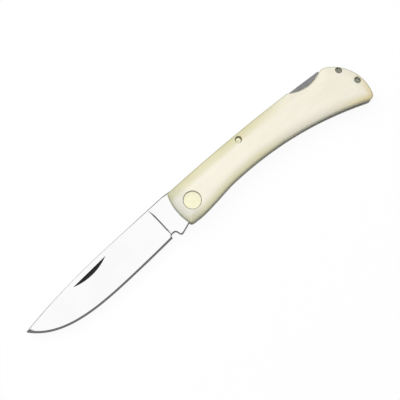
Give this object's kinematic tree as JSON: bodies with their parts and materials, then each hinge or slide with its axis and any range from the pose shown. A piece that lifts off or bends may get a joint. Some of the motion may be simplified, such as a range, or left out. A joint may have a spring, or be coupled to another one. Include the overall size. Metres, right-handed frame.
{
  "type": "folding pocket knife",
  "caption": "Folding pocket knife, open: drop-point blade with a nail nick, curved ivory-coloured handle with brass pivot heads, and a rocker bar lock pressed in a notch near the butt.",
  "frame": {"origin": "on the pivot pin's axis, in the plane that the knife lies on, which is the flat of the rear scale and of the rear pivot head", "axes": "+X from the pivot towards the butt, along the open blade's straight spine; +Y towards the spine and the lock bar; +Z out of the front scale"},
  "size_m": [0.2064, 0.0356, 0.0126],
  "materials": {
    "bone": "smooth buffed bone, ivory coloured",
    "liner_metal": "fine brushed",
    "blade_steel": "mirror polished stainless steel",
    "spring_steel": "satin",
    "pale_brass": "polished",
    "pin_steel": "spun, dull"
  },
  "bodies": {
    "handle": {"front_scale": "bone", "rear_scale": "bone", "front_liner": "liner_metal", "rear_liner": "liner_metal", "back_spring": "spring_steel", "pivot_pin": "pin_steel", "front_pivot_head": "pale_brass", "rear_pivot_head": "pale_brass", "rocker_pin": "pale_brass", "butt_pin_upper": "pin_steel", "butt_pin_lower": "pin_steel"},
    "blade": {"blade": "blade_steel"},
    "lock_bar": {"lock_bar": "spring_steel"}
  },
  "joints": [
    {"name": "blade_pivot", "type": "hinge", "parent": "handle", "child": "blade", "pos_m": [0, 0, 0.0063], "axis": [0, 0, 1], "range_deg": [0, 174]},
    {"name": "lock_bar_rock", "type": "hinge", "parent": "handle", "child": "lock_bar", "pos_m": [0.0371, 0.0066, 0.0063], "axis": [0, 0, -1], "range_deg": [0, 3], "stiffness_Nm_per_rad": 0.5, "springref_deg": -2.86, "deforming": ["back_spring"]}
  ]
}
